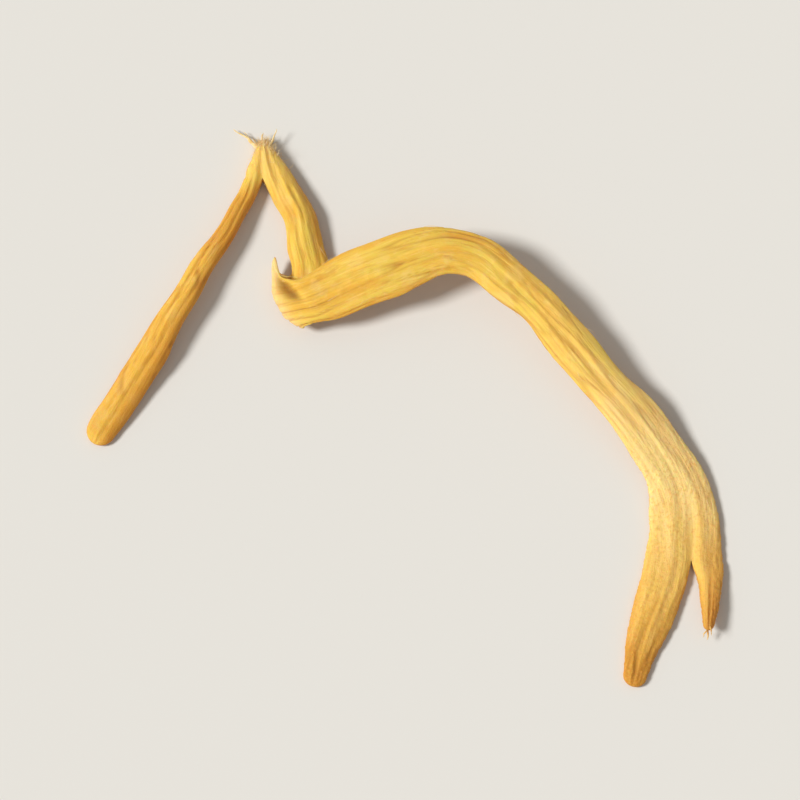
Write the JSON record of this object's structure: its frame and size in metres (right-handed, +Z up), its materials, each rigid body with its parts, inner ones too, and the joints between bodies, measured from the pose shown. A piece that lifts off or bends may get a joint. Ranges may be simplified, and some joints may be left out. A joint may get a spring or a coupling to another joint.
{
  "type": "dried cordyceps",
  "caption": "Dried cordyceps fungus: a slim straight stem and a broad ribbon-like stem, folded and arched, joined at a torn foot, lying flat.",
  "frame": {"origin": "middle of the outline in plan, on the surface that the piece lies on", "axes": "+Z up from the surface; +X from the slim stem's end towards the head; +Y from the tips towards the foot"},
  "size_m": [0.0589, 0.0535, 0.005],
  "materials": {
    "dried_stem": "matte",
    "dried_head": "matte",
    "torn_foot": "matte"
  },
  "bodies": {
    "root": {"foot": "torn_foot", "straight_stem": "dried_stem", "folded_stem": "dried_stem", "wide_tip": "dried_head", "narrow_tip": "dried_head"}
  },
  "joints": []
}
